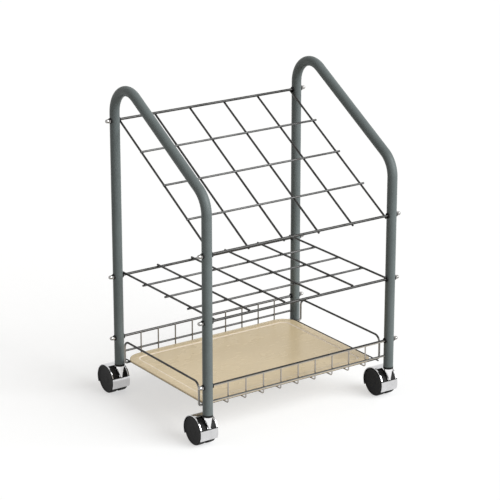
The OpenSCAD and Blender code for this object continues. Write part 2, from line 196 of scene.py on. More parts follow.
class ShaderSheet(NodeSheet):
    """The node tree of one material, with the textures that the finishes use."""

    def __init__(self, name: str) -> None:
        """Makes an empty material.

        Args:
            name: The material's name.
        """
        self.material = bpy.data.materials.new(name)
        self.material.use_nodes = True
        super().__init__(self.material.node_tree)
        self.place = self.node("ShaderNodeTexCoord").outputs["Object"]

    @property
    def height(self) -> Number:
        """The height in the object's own space, in metres."""
        return self.part_of(self.place, "Z")

    @property
    def upward(self) -> Number:
        """How far the surface faces up, from -1 below to 1 on top."""
        return self.part_of(self.node("ShaderNodeNewGeometry").outputs["Normal"], "Z")

    def part_of(self, vector: Socket, axis: str) -> Number:
        """One axis of a vector, as a number."""
        parts = self.node("ShaderNodeSeparateXYZ", {"Vector": vector})
        return Number(self, parts.outputs[axis])

    def mark(self, name: str) -> Number:
        """The piece's own attribute of that name."""
        found = self.node("ShaderNodeAttribute", attribute_name=name)
        return Number(self, found.outputs["Fac"])

    def forward(self, front_y: float, middle_y: float) -> Number:
        """1 up to one depth, easing to 0 at a depth behind it."""
        return 1 - self.ramp(self.part_of(self.place, "Y"), front_y, middle_y)

    def vector(self, operation: str, *values: Any) -> bpy.types.Node:
        """Adds one Vector Math node."""
        return self.node("ShaderNodeVectorMath", dict(enumerate(values)),
                         operation=operation)

    def noise(self, scale: float, detail: float, stretch: Point = EVEN) -> Number:
        """Noise from 0 to 1 in the object's own space.

        Args:
            scale: Waves to the metre.
            detail: Octaves of finer noise.
            stretch: How much faster it runs along each axis.

        Returns:
            The noise value.
        """
        where = self.place
        if stretch != EVEN:
            where = self.node("ShaderNodeMapping", {"Vector": where, "Scale": stretch})
        made = self.node("ShaderNodeTexNoise",
                         {"Vector": where, "Scale": scale, "Detail": detail,
                          "Roughness": NOISE_ROUGHNESS})
        return Number(self, made.outputs["Fac"])

    def cells(self, scale: float) -> Number:
        """Distance to the nearest of so many soft cells to the metre."""
        made = self.node("ShaderNodeTexVoronoi",
                         {"Vector": self.place, "Scale": scale,
                          "Smoothness": CELL_SMOOTHNESS}, feature="SMOOTH_F1")
        return Number(self, made.outputs["Distance"])

    def ramp(self, value: Number, low: float, high: float) -> Number:
        """Runs from 0 at low to 1 at high, eased at both ends."""
        made = self.node("ShaderNodeMapRange",
                         {"Value": value, "From Min": low, "From Max": high},
                         interpolation_type="SMOOTHSTEP")
        return Number(self, made.outputs[0])

    def mix(self, share: Number, first: Any, second: Any) -> Socket:
        """Mixes two colours; share is how much of the second shows."""
        made = self.node("ShaderNodeMix", {"Factor": share, 6: first, 7: second},
                         data_type="RGBA")
        return made.outputs[2]

    def bump(self, height: Number, depth: float, strength: float) -> Socket:
        """Turns a height into a normal; a height of 1 stands for the depth."""
        made = self.node("ShaderNodeBump",
                         {"Height": height, "Distance": depth, "Strength": strength})
        return made.outputs[0]


def shade(colour: Colour, share: float) -> Colour:
    """A linear colour with each channel multiplied by a share."""
    red, green, blue = (channel * share for channel in colour)
    return (red, green, blue)


@dataclass(frozen=True)
class Finish:
    """A finish of the real object: its slot in the record and its plain values."""

    name: str
    slot: str
    colour: Colour
    roughness: float
    metallic: float = 0.0
    specular: float = 0.5

    @cached_property
    def material(self) -> bpy.types.Material:
        """The finish's material, built at its first use.

        Returns:
            The material.
        """
        sheet = ShaderSheet(self.name)
        colour, roughness, normal = self.surface(sheet)
        shader = sheet.node("ShaderNodeBsdfPrincipled", {
            "Base Color": colour, "Metallic": self.metallic, "Roughness": roughness,
            "Specular IOR Level": self.specular, "Normal": normal})
        sheet.node("ShaderNodeOutputMaterial", {"Surface": shader})
        return sheet.material

    def surface(self, sheet: ShaderSheet) -> Surface:
        """What changes over the surface: its colour, roughness and normal."""
        raise NotImplementedError


@dataclass(frozen=True)
class HammerPaint(Finish):
    """Satin paint that dried in small soft dimples."""

    dimple: float = 1.5 * MM
    depth: float = 0.05 * MM
    strength: float = 0.8
    drift: Waves = (16.0, 3.0)
    drift_share: float = 0.55
    fine: Waves = (900.0, 2.0)
    fine_share: float = 0.12
    levels: Pair = (0.25, 0.75)
    shades: Pair = (0.86, 1.14)
    gloss_swing: float = 0.14

    def surface(self, sheet: ShaderSheet) -> Surface:
        """Dimples with paler floors, a slow drift in tone, and uneven gloss.

        Args:
            sheet: The sheet to write in.

        Returns:
            The colour, the roughness and the normal.
        """
        dimples = sheet.cells(1 / self.dimple)
        drift = sheet.noise(*self.drift)
        blend = self.drift_share * drift + (1 - self.drift_share) * dimples
        dark, pale = (shade(self.colour, share) for share in self.shades)
        relief = dimples + self.fine_share * sheet.noise(*self.fine)
        return (sheet.mix(sheet.ramp(blend, *self.levels), dark, pale),
                self.roughness + self.gloss_swing * drift - self.gloss_swing / 2,
                sheet.bump(relief, self.depth, self.strength))


@dataclass(frozen=True)
class WornFinish(Finish):
    """A finish with patches of wear over a fine grain."""

    patches: Waves = (70.0, 3.0)
    levels: Pair = (0.3, 0.75)
    worn: float = 1.0
    patch_rough: float = 0.1
    grain: Waves = (1000.0, 2.0)
    grain_rough: float = 0.0
    depth: float = 0.03 * MM
    strength: float = 0.5

    def surface(self, sheet: ShaderSheet) -> Surface:
        """Patches in tone and gloss, and the grain's relief.

        Args:
            sheet: The sheet to write in.

        Returns:
            The colour, the roughness and the normal.
        """
        patches = sheet.ramp(sheet.noise(*self.patches), *self.levels)
        grain = sheet.noise(*self.grain)
        worn = sheet.mix(patches, self.colour, shade(self.colour, self.worn))
        return (self.tone(sheet, worn),
                self.roughness + self.patch_rough * patches + self.grain_rough * grain,
                sheet.bump(grain, self.depth, self.strength))

    def tone(self, sheet: ShaderSheet, worn: Socket) -> Socket:
        """The worn colour, as it changes along the piece: here, not at all."""
        return worn


@dataclass(frozen=True)
class BrightWire(WornFinish):
    """Plated wire: bright, with faint drawing marks and a little tarnish."""

    patches: Waves = (45.0, 3.0)
    levels: Pair = (0.35, 0.7)
    worn: float = 0.75
    grain: Waves = (1400.0, 3.0)
    grain_rough: float = 0.06
    depth: float = 0.012 * MM


@dataclass(frozen=True)
class RailWire(BrightWire):
    """Plated wire of the basket's rails: painted darker in front than at the back (painted
    shade), with a painted reflection on the underside in front.
    """

    # The front underside gets a painted reflection, and the rail is painted paler at the back
    # than in front (painted shade).
    painted_sheen: Colour = (0.5, 0.46, 0.4)
    back: Colour = (0.07, 0.068, 0.066)
    front_y: float = -150.0 * MM
    middle_y: float = -60.0 * MM
    underside: Pair = (-0.2, 0.35)

    def tone(self, sheet: ShaderSheet, worn: Socket) -> Socket:
        """Painted paler at the back than in front, and with a painted reflection on the
        underside at the front.

        Args:
            sheet: The sheet to write in.
            worn: The worn colour.

        Returns:
            The colour.
        """
        # Painted reflection on the front underside, over painted shade that darkens the front.
        below = 1 - sheet.ramp(sheet.upward, *self.underside)
        front = sheet.forward(self.front_y, self.middle_y)
        return sheet.mix(below * front, sheet.mix(front, self.back, worn), self.painted_sheen)


@dataclass(frozen=True)
class PicketWire(BrightWire):
    """Plated wire of the basket's uprights, with a painted highlight along the front."""

    # A painted highlight: the wires are painted paler along the front.
    painted_sheen: Colour = (0.4, 0.375, 0.35)
    front_y: float = -149.0 * MM
    middle_y: float = -130.0 * MM

    def tone(self, sheet: ShaderSheet, worn: Socket) -> Socket:
        """Painted brighter at the front: a painted highlight."""
        return sheet.mix(sheet.forward(self.front_y, self.middle_y), worn, self.painted_sheen)


@dataclass(frozen=True)
class HoopWire(BrightWire):
    """Plated hoop wire, painted darker along its top run and paler on its legs: painted shade
    and painted light.
    """

    # Painted light on the legs, against painted shade on the top run.
    painted_leg_sheen: Colour = (0.25, 0.24, 0.225)
    leg_top: float = 106.0 * MM
    run_bottom: float = 114.0 * MM

    def tone(self, sheet: ShaderSheet, worn: Socket) -> Socket:
        """Painted paler on the legs than on the top run."""
        return sheet.mix(sheet.ramp(sheet.height, self.leg_top, self.run_bottom),
                         self.painted_leg_sheen, worn)


@dataclass(frozen=True)
class ChromePlate(WornFinish):
    """Mirror chrome over a casting or a turned nut: smudged, and slightly wavy."""

    patches: Waves = (120.0, 4.0)
    levels: Pair = (0.4, 0.75)
    worn: float = 0.9
    patch_rough: float = 0.09
    grain: Waves = (210.0, 1.0)
    depth: float = 0.06 * MM
    strength: float = 0.35


@dataclass(frozen=True)
class HoodPlate(ChromePlate):
    """Mirror chrome of a hood, with a painted highlight on its neck and a painted shadow line
    along the sill.
    """

    # The neck colour is a painted highlight.
    neck: Colour = (0.88, 0.88, 0.89)
    post: Point = (POST_X, POST_Y, 0.0)
    neck_radius: float = 9.5 * MM
    neck_blend: float = 2.5 * MM
    sill_z: float = 36.4 * MM
    # Painted shadow: a dark line where the window's sill meets the neck.
    line: Colour = (0.03, 0.03, 0.03)
    sill_shadow_low: float = 34.8 * MM
    sill_shadow_high: float = 37.4 * MM
    sill_shadow_reach: float = 19.0 * MM
    sill_shadow_blend: float = 0.6 * MM

    def tone(self, sheet: ShaderSheet, worn: Socket) -> Socket:
        """A painted highlight round the post, and a painted shadow line along the sill.

        Args:
            sheet: The sheet to write in.
            worn: The worn colour.

        Returns:
            The colour.
        """
        mirrored = sheet.vector("ABSOLUTE", sheet.place)
        flat = sheet.vector("MULTIPLY", mirrored, (1.0, 1.0, 0.0))
        away = sheet.vector("DISTANCE", flat, self.post)
        radius = Number(sheet, away.outputs["Value"])
        height = sheet.height
        near = 1 - sheet.ramp(radius, self.neck_radius, self.neck_radius + self.neck_blend)
        above = sheet.ramp(height, self.sill_z, self.sill_z + self.sill_shadow_blend)
        # Painted highlight on the neck.
        bright = sheet.mix(near * above, worn, self.neck)
        # Painted shadow line along the sill, in front.
        over = sheet.ramp(height, self.sill_shadow_low, self.sill_shadow_low + self.sill_shadow_blend)
        under = 1 - sheet.ramp(height, self.sill_shadow_high, self.sill_shadow_high + self.sill_shadow_blend)
        front = 1 - sheet.ramp(radius, self.sill_shadow_reach, self.sill_shadow_reach + self.neck_blend)
        return sheet.mix(over * under * front, bright, self.line)


@dataclass(frozen=True)
class MouldedPlastic(WornFinish):
    """Fine grained moulded plastic, cloudy in tone and gloss."""

    worn: float = 1.35
    patch_rough: float = 0.12
    grain: Waves = (1 / (0.35 * MM), 2.0)


@dataclass(frozen=True)
class WheelPlastic(Finish):
    """Black wheel plastic, dusty where the tread rolls."""

    dust: Colour = (0.018, 0.017, 0.016)
    dust_rough: float = 0.25
    scuffs: Waves = (260.0, 4.0)
    levels: Pair = (0.35, 0.7)
    scuff_rough: float = 0.08
    grain: Waves = (2600.0, 2.0)
    depth: float = 0.03 * MM
    strength: float = 0.5

    def surface(self, sheet: ShaderSheet) -> Surface:
        """Dust and scuffs where the wheel's own attribute marks the tread.

        Args:
            sheet: The sheet to write in.

        Returns:
            The colour, the roughness and the normal.
        """
        scuffs = sheet.noise(*self.scuffs)
        worn = sheet.mark("tread") * sheet.ramp(scuffs, *self.levels)
        return (sheet.mix(worn, self.colour, self.dust),
                self.roughness + self.dust_rough * worn + self.scuff_rough * scuffs,
                sheet.bump(sheet.noise(*self.grain), self.depth, self.strength))


@dataclass(frozen=True)
class GlossTrayPlastic(Finish):
    """Glossy tan plastic with soft mottling, faint rubbing marks and a painted highlight line
    along the step.
    """

    mottle: Waves = (14.0, 3.0)
    shades: Pair = (0.95, 1.05)
    mottle_rough: float = 0.06
    # Colour of the rubbing marks, which are wear, and of the painted highlight along the step.
    rub_and_highlight: Colour = (0.9, 0.8, 0.74)
    rubs: Waves = (40.0, 3.0)
    rub_stretch: Point = (1.0, 9.0, 1.0)
    levels: Pair = (0.62, 0.8)
    rub_share: float = 0.12
    rub_rough: float = 0.16
    step_highlight_share: float = 0.55
    pebble: Waves = (520.0, 2.0)
    depth: float = 0.03 * MM
    strength: float = 0.4

    def surface(self, sheet: ShaderSheet) -> Surface:
        """Mottled tone, faint rubbing marks, a painted highlight along the step, and pebbled
        gloss.

        Args:
            sheet: The sheet to write in.

        Returns:
            The colour, the roughness and the normal.
        """
        mottle = sheet.noise(*self.mottle)
        rubs = sheet.ramp(sheet.noise(*self.rubs, self.rub_stretch), *self.levels)
        dark, pale = (shade(self.colour, share) for share in self.shades)
        # The step mark paints a highlight line; the rubbing marks are wear.
        bright = self.rub_share * rubs + self.step_highlight_share * sheet.mark("step")
        return (sheet.mix(bright, sheet.mix(mottle, dark, pale), self.rub_and_highlight),
                self.roughness + self.rub_rough * rubs + self.mottle_rough * mottle,
                sheet.bump(sheet.noise(*self.pebble), self.depth, self.strength))


FRAME_PAINT = HammerPaint("grey_hammer_paint", "frame_paint", (0.118, 0.137, 0.136), 0.45,
                          specular=0.25)
ROD_FINISH = BrightWire("bright_rod", WIRE, (0.05, 0.049, 0.047), 0.3, 1.0)
RAIL_FINISH = RailWire("bright_rail", WIRE, (0.02, 0.0195, 0.019), 0.28, 1.0)
LOW_RAIL_FINISH = RailWire("bright_low_rail", WIRE, (0.055, 0.054, 0.052), 0.3, 1.0)
CROSS_FINISH = BrightWire("bright_cross_wire", WIRE, (0.08, 0.079, 0.077), 0.3, 1.0)
DEPTH_FINISH = BrightWire("bright_depth_wire", WIRE, (0.055, 0.054, 0.052), 0.28, 1.0)
HOOP_FINISH = HoopWire("bright_hoop_wire", WIRE, (0.055, 0.054, 0.052), 0.28, 1.0)
PICKET_FINISH = PicketWire("bright_basket_wire", WIRE, (0.22, 0.21, 0.197), 0.24, 1.0)
NUT_CHROME = ChromePlate("nut_plate", "nut_chrome", (0.34, 0.33, 0.32), 0.14, 1.0)
HOOD_CHROME = HoodPlate("hood_plate", "hood_chrome", (0.66, 0.66, 0.67), 0.08, 1.0)
PIN_STEEL = BrightWire("pin_steel_finish", "pin_steel", (0.4, 0.39, 0.38), 0.3, 1.0)
WASHER_BLACK = MouldedPlastic("washer_black", "washer_plastic", SOOT, 0.5, specular=0.15)
SOCKET_BLACK = MouldedPlastic("socket_black", "socket_plastic", SOOT, 0.5, specular=0.15)
WHEEL_BLACK = WheelPlastic("wheel_black", "wheel_plastic", (0.006, 0.006, 0.0065), 0.46,
                           specular=0.16)
TRAY_TAN = GlossTrayPlastic("tray_tan", "tray_plastic", (0.7, 0.562, 0.35), 0.24,
                            specular=0.35)


class RepeatSheet(NodeSheet):
    """A Geometry Nodes tree that sweeps, repeats or scatters one piece."""

    def __init__(self, name: str) -> None:
        """Starts the tree with its geometry and its finish.

        Args:
            name: The tree's name.
        """
        super().__init__(bpy.data.node_groups.new(name, "GeometryNodeTree"))
        self._start = self.node("NodeGroupInput")
        self.size("Geometry", "Geometry")
        self.tree.interface.new_socket("Geometry", in_out="OUTPUT",
                                       socket_type="NodeSocketGeometry")
        self.size("Finish", "Material")

    def size(self, name: str, kind: str) -> Socket:
        """Adds a named input and gives the socket to link from.

        Args:
            name: The input's name.
            kind: Its socket type, without the word NodeSocket.

        Returns:
            The group input's socket.
        """
        self.tree.interface.new_socket(name, in_out="INPUT", socket_type="NodeSocket" + kind)
        return self._start.outputs[name]

    @property
    def base(self) -> Socket:
        """The modified object's own geometry."""
        return self._start.outputs["Geometry"]

    def end(self, points: Any, piece: Any, **more: Any) -> None:
        """Puts a piece on points, makes it real, sets its finish and closes the tree.

        Args:
            points: Where the copies go.
            piece: What is copied.
            more: How the copies are turned and scaled.
        """
        placed = self.node("GeometryNodeInstanceOnPoints",
                           {"Points": points, "Instance": piece, **more})
        real = self.node("GeometryNodeRealizeInstances", {"Geometry": placed})
        dressed = self.node("GeometryNodeSetMaterial",
                            {"Geometry": real, "Material": self._start.outputs["Finish"]})
        self.node("NodeGroupOutput", {"Geometry": dressed})

    def make(self, name: str, base: Mesh, finish: Finish,
             sizes: dict[str, Any]) -> Mesh:
        """Runs the tree on a base mesh and keeps the result as a plain mesh.

        Args:
            name: The new mesh's name.
            base: The points or lines that the tree works on.
            finish: What the piece is finished in.
            sizes: Values of the tree's named inputs.

        Returns:
            The new mesh.
        """
        carrier = add(name + "_carrier", base)
        repeat = carrier.modifiers.new("repeat", "NODES")
        repeat.node_group = self.tree
        idents = {item.name: item.identifier for item in self.tree.interface.items_tree
                  if item.in_out == "INPUT"}
        for key, value in {**sizes, "Finish": finish.material}.items():
            repeat[idents[key]] = value
        carrier.update_tag()
        bpy.context.view_layer.update()
        evaluated = carrier.evaluated_get(bpy.context.evaluated_depsgraph_get())
        mesh = bpy.data.meshes.new_from_object(evaluated)
        mesh.name = name
        carrier.modifiers.remove(repeat)
        bpy.data.objects.remove(carrier)
        return mesh


def wire_tree() -> RepeatSheet:
    """Sweeps a line of points as round wire, fillets its bends and repeats it.

    Returns:
        The tree.
    """
    sheet = RepeatSheet("wire_row")
    radius = sheet.size("Wire Radius", "Float")
    bend = sheet.size("Bend Radius", "Float")
    steps = sheet.size("Bend Steps", "Int")
    sides = sheet.size("Sides", "Int")
    copies = sheet.size("Copies", "Int")
    spacing = sheet.size("Spacing", "Vector")
    line = sheet.node("GeometryNodeMeshToCurve", {"Mesh": sheet.base})
    bent = sheet.node("GeometryNodeFilletCurve",
                      {"Curve": line, "Count": steps, "Radius": bend,
                       "Limit Radius": True}, mode="POLY")
    taper = sheet.node("GeometryNodeInputNamedAttribute", {"Name": "taper"},
                       data_type="FLOAT")
    ring = sheet.node("GeometryNodeCurvePrimitiveCircle",
                      {"Resolution": sides, "Radius": radius}, mode="RADIUS")
    wire = sheet.node("GeometryNodeCurveToMesh",
                      {"Curve": bent, "Profile Curve": ring, "Scale": taper,
                       "Fill Caps": True})
    row = sheet.node("GeometryNodeMeshLine", {"Count": copies, "Offset": spacing},
                     mode="OFFSET", count_mode="TOTAL")
    sheet.end(row, wire)
    return sheet


def weld_tree() -> RepeatSheet:
    """Puts a small flattened bead of weld on each point, no two quite alike.

    Returns:
        The tree.
    """
    sheet = RepeatSheet("weld_beads")
    width = sheet.size("Bead Width", "Float")
    height = sheet.size("Bead Height", "Float")
    turn = sheet.size("Turn", "Vector")
    seed = sheet.size("Seed", "Int")
    bead = sheet.node("GeometryNodeMeshUVSphere",
                      {"Segments": 16, "Rings": 8, "Radius": 0.5})
    shape = sheet.node("ShaderNodeCombineXYZ", {"X": width, "Y": width, "Z": height})
    vary = sheet.node("FunctionNodeRandomValue",
                      {2: BEAD_SPREAD[0], 3: BEAD_SPREAD[1], "Seed": seed},
                      data_type="FLOAT")
    scaled = sheet.node("ShaderNodeVectorMath", {0: shape, "Scale": vary.outputs[1]},
                        operation="SCALE")
    sheet.end(sheet.base, bead, Rotation=turn, Scale=scaled)
    return sheet


def copies_tree() -> RepeatSheet:
    """Puts a copy of one made part on each point, turned as the point says.

    Returns:
        The tree.
    """
    sheet = RepeatSheet("part_copies")
    part = sheet.size("Part", "Object")
    info = sheet.node("GeometryNodeObjectInfo", {"Object": part, "As Instance": True},
                      transform_space="ORIGINAL")
    turn = sheet.node("GeometryNodeInputNamedAttribute", {"Name": "turn"},
                      data_type="FLOAT_VECTOR")
    sheet.end(sheet.base, info.outputs["Geometry"], Rotation=turn)
    return sheet


def add(name: str, data: Any) -> bpy.types.Object:
    """Adds an object to the scene.

    Args:
        name: The object's name.
        data: Its mesh, lamp or camera.

    Returns:
        The new object.
    """
    made = bpy.data.objects.new(name, data)
    bpy.context.scene.collection.objects.link(made)
    return made


def points_mesh(name: str, points: Iterable[Sequence[float]],
                edges: Sequence[tuple[int, int]] = ()) -> Mesh:
    """A mesh of loose points, or of points joined by edges.

    Args:
        name: The mesh's name.
        points: The points, in metres.
        edges: Pairs of point numbers.

    Returns:
        The new mesh.
    """
    mesh = bpy.data.meshes.new(name)
    mesh.from_pydata([tuple(point) for point in points], list(edges), [])
    return mesh


def closed_mesh(name: str, rings: Sequence[Sequence[Point]], mark: str = "",
                marked: Sequence[bool] = ()) -> Mesh:
    """Joins rings of points into a closed mesh; a ring of one point is a tip.

    Args:
        name: The mesh's name.
        rings: The rings, in order.
        mark: The name of an attribute that shaders read, where there is one.
        marked: Whether each ring has it.

    Returns:
        The new mesh.
    """
    shape = bmesh.new()
    layer = shape.verts.layers.float.new(mark) if mark else None
    made = [[shape.verts.new(point) for point in ring] for ring in rings]
    for ring, value in zip(made, marked):
        for vert in ring:
            vert[layer] = float(value)
    sides = max(len(ring) for ring in made)
    for first, second in zip(made, made[1:]):
        for step in range(sides):
            after = (step + 1) % sides
            corners = [first[step % len(first)], first[after % len(first)],
                       second[after % len(second)], second[step % len(second)]]
            unique = list(dict.fromkeys(corners))
            if len(unique) > 2:
                shape.faces.new(unique)
    for ring in (made[0], made[-1]):
        if len(ring) > 1:
            shape.faces.new(ring)
    bmesh.ops.recalc_face_normals(shape, faces=shape.faces)
    mesh = bpy.data.meshes.new(name)
    shape.to_mesh(mesh)
    shape.free()
    return mesh


def arc(centre: Pair, radius: float, start: float, end: float, steps: int) -> list[Pair]:
    """Points on an arc, both ends included.

    Args:
        centre: The arc's centre.
        radius: Its radius.
        start: The first point's angle, in degrees.
        end: The last point's angle, in degrees.
        steps: How many pieces the arc has.

    Returns:
        The points in order.
    """
    turns = [math.radians(start + (end - start) * step / steps) for step in range(steps + 1)]
    return [(centre[0] + radius * math.cos(turn), centre[1] + radius * math.sin(turn))
            for turn in turns]


def spread(half: float, parts: int) -> list[float]:
    """Places from -half to half that are so many equal parts apart."""
    pitch = 2 * half / parts
    return [-half + pitch * number for number in range(parts + 1)]


def place(mesh: Mesh, name: str, finish: Finish, crease: float,
          body: str = CHASSIS, nodes: Sequence[str] = ()) -> None:
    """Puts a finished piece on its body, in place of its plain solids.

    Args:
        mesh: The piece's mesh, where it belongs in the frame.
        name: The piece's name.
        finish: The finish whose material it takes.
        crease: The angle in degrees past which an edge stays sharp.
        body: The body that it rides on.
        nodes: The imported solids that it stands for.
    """
    if not mesh.materials:
        mesh.materials.append(finish.material)
    mesh.shade_smooth()
    mesh.set_sharp_from_angle(angle=math.radians(crease))
    piece = add(name, mesh)
    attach(piece, body)
    if nodes:
        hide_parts(*nodes)
    LOG.info("%s: %d faces on %s", piece.name, len(mesh.polygons), body)


def dress(node: str, finish: Finish) -> None:
    """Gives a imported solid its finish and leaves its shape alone.

    Args:
        node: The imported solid's name.
        finish: The finish that it takes.
    """
    solid = frame["nodes"][node]
    for slot in solid.material_slots:
        slot.material = finish.material
    LOG.info("%s: finished as %s", node, finish.name)


@dataclass
class WireShop:
    """Makes the chassis's wires and weld beads for the grids and the basket."""

    end_chamfer: float = 0.4 * MM
    bend_steps: int = 12
    sides: int = 28
    crease: float = 32.0
    seed: int = 11
    wires: RepeatSheet = field(default_factory=wire_tree)
    beads: RepeatSheet = field(default_factory=weld_tree)

    def row(self, name: str, line: Sequence[Sequence[float]], radius: float, finish: Finish,
            node: str, copies: int, spacing: Point, bend: float = 0.0) -> None:
        """Makes a row of equal wires with chamfered ends.

        Args:
            name: The piece's name.
            line: Corner points of the first wire's centreline.
            radius: The wire's radius.
            finish: Its finish.
            node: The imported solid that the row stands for.
            copies: How many wires there are.
            spacing: The step from one wire to the next.
            bend: The centreline radius of its bends.
        """
        corners = [Vector(point) for point in line]
        first = corners[0] + (corners[1] - corners[0]).normalized() * self.end_chamfer
        last = corners[-1] + (corners[-2] - corners[-1]).normalized() * self.end_chamfer
        path = [corners[0], first, *corners[1:-1], last, corners[-1]]
        base = points_mesh(name, path, [(i, i + 1) for i in range(len(path) - 1)])
        narrow = 1 - self.end_chamfer / radius
        taper = base.attributes.new("taper", "FLOAT", "POINT")
        taper.data.foreach_set("value", [narrow] + [1.0] * (len(path) - 2) + [narrow])
        mesh = self.wires.make(name, base, finish, {
            "Wire Radius": radius, "Bend Radius": bend, "Bend Steps": self.bend_steps,
            "Sides": self.sides, "Copies": copies, "Spacing": spacing})
        place(mesh, name, finish, self.crease, nodes=[node])

    def weld(self, name: str, points: Iterable[Sequence[float]], bead: Pair,
             finish: Finish, lean: float = 0.0) -> None:
        """Makes the weld beads of a set of crossings.

        Args:
            name: The piece's name.
            points: The crossings.
            bead: A bead's width along the wires and its height between them.
            finish: Its finish.
            lean: How far the beads lean about the width, in radians.
        """
        mesh = self.beads.make(name, points_mesh(name, points), finish, {
            "Bead Width": bead[0], "Bead Height": bead[1], "Turn": (lean, 0.0, 0.0),
            "Seed": self.seed})
        place(mesh, name, finish, self.crease)


@dataclass
class WireGrid:
    """A grid of roll pockets between two end rods, level or sloped."""

    name: str
    back_z: float
    front_z: float
    layer: Layer
    long_node: str
    half_width: float = 194.95 * MM
    columns: int = 5
    rows: int = 4
    rod_radius: float = 2.5 * MM
    wire_radius: float = 2.0 * MM
    overhang: float = 5.0 * MM
    weld_sink: float = 0.25 * MM
    bead: Pair = (3.9 * MM, 1.5 * MM)

    @property
    def slope(self) -> float:
        """The grid's slope, in radians."""
        return math.atan2(self.back_z - self.front_z, 2 * POST_Y)

    def point(self, x: float, y: float, lift: float) -> Point:
        """A point in the grid's plane, lifted square to it."""
        height = self.back_z - (POST_Y - y) * math.tan(self.slope)
        return (x, y - lift * math.sin(self.slope), height + lift * math.cos(self.slope))

    def build(self, shop: WireShop) -> None:
        """Makes the rods, the cross wires, the long wires and their welds.

        Args:
            shop: Where the wires come from.
        """
        side = self.layer.value
        rows, columns = spread(POST_Y, self.rows), spread(self.half_width, self.columns)
        shop.row(self.name + "_rods",
                 [self.point(x, -POST_Y, 0) for x in (-ROD_HALF, ROD_HALF)],
                 self.rod_radius, ROD_FINISH, self.name + "_end_rods", 2,
                 (0.0, 2 * POST_Y, self.back_z - self.front_z))
        lift = side * (self.rod_radius - self.wire_radius)
        reach = self.half_width + self.overhang
        start = self.point(-reach, rows[1], lift)
        after = self.point(-reach, rows[2], lift)
        shop.row(self.name + "_cross", [start, self.point(reach, rows[1], lift)],
                 self.wire_radius, CROSS_FINISH, self.name + "_cross_wires", self.rows - 1,
                 (0.0, after[1] - start[1], after[2] - start[2]))
        lift = side * (self.rod_radius + self.wire_radius - self.weld_sink)
        ends = POST_Y + self.rod_radius * math.cos(self.slope)
        shop.row(self.name + "_long", [self.point(columns[0], y, lift) for y in (-ends, ends)],
                 self.wire_radius, DEPTH_FINISH, self.long_node, self.columns + 1,
                 (columns[1] - columns[0], 0.0, 0.0))
        lift = side * (self.rod_radius - self.weld_sink / 2)
        shop.weld(self.name + "_welds", [self.point(x, y, lift) for x in columns for y in rows],
                  self.bead, CROSS_FINISH, self.slope)


@dataclass
class Basket:
    """The wire basket: rails, nine bent cradle wires, base wires and end hoops."""

    rail_radius: float = 2.5 * MM
    wire_radius: float = 2.0 * MM
    low_y: float = 152.0 * MM
    low_z: float = 87.5 * MM
    low_half: float = 197.6 * MM
    shift_x: float = -3.2 * MM
    cradle_count: int = 9
    cradle_pitch: float = 39.3 * MM
    cradle_radius: float = 1.3 * MM
    cradle_y: float = 148.95 * MM
    cradle_z: float = 74.6 * MM
    cradle_top_z: float = 119.5 * MM
    cradle_bend: float = 4.0 * MM
    base_rows: Pair = (-124.0 * MM, 132.0 * MM)
    base_z: float = 71.55 * MM
    end_x: float = 196.0 * MM
    end_half: float = 140.7 * MM
    end_z: float = 74.6 * MM
    end_radius: float = 1.3 * MM
    bead: Pair = (3.0 * MM, 1.3 * MM)
    bead_sink: float = 0.1 * MM

    def build(self, shop: WireShop) -> None:
        """Makes the basket's rails, cradle wires, end runs and welds, and finishes its base
        wires and hoops.

        Args:
            shop: Where the wires come from.
        """
        first_x = self.shift_x - self.cradle_pitch * (self.cradle_count - 1) / 2
        shop.row("basket_rails", [(x, -POST_Y, RAIL_Z) for x in (-ROD_HALF, ROD_HALF)],
                 self.rail_radius, RAIL_FINISH, "basket_top_rails", 2, (0.0, 2 * POST_Y, 0.0))
        shop.row("basket_low_rails",
                 [(x, -self.low_y, self.low_z) for x in (-self.low_half, self.low_half)],
                 self.wire_radius, LOW_RAIL_FINISH, "basket_lower_rails", 2,
                 (0.0, 2 * self.low_y, 0.0))
        shop.row("basket_cradles",
                 [(first_x, side * self.cradle_y, z) for side, z in (
                     (-1, self.cradle_top_z), (-1, self.cradle_z),
                     (1, self.cradle_z), (1, self.cradle_top_z))],
                 self.cradle_radius, PICKET_FINISH, "basket_cradle_wires",
                 self.cradle_count, (self.cradle_pitch, 0.0, 0.0), self.cradle_bend)
        left_x, right_x = self.shift_x - self.end_x, self.shift_x + self.end_x
        shop.row("basket_end_runs",
                 [(left_x, y, self.end_z) for y in (-self.end_half, self.end_half)],
                 self.end_radius, DEPTH_FINISH, "basket_end_wires", 2,
                 (2 * self.end_x, 0.0, 0.0))
        dress("basket_base_wires", CROSS_FINISH)
        for node in ("basket_left_hoop", "basket_right_hoop"):
            dress(node, HOOP_FINISH)
        places = [first_x + self.cradle_pitch * i for i in range(self.cradle_count)]
        touch = self.cradle_y + self.cradle_radius - self.bead_sink
        shop.weld("basket_picket_welds",
                  [(x, side * touch, z) for x in places for side in (-1, 1)
                   for z in (RAIL_Z, self.low_z)],
                  self.bead, PICKET_FINISH, math.pi / 2)
        touch = self.base_z + self.wire_radius - self.bead_sink
        shop.weld("basket_floor_welds",
                  [(x, y, touch) for x in (*places, left_x, right_x) for y in self.base_rows],
                  self.bead, CROSS_FINISH)


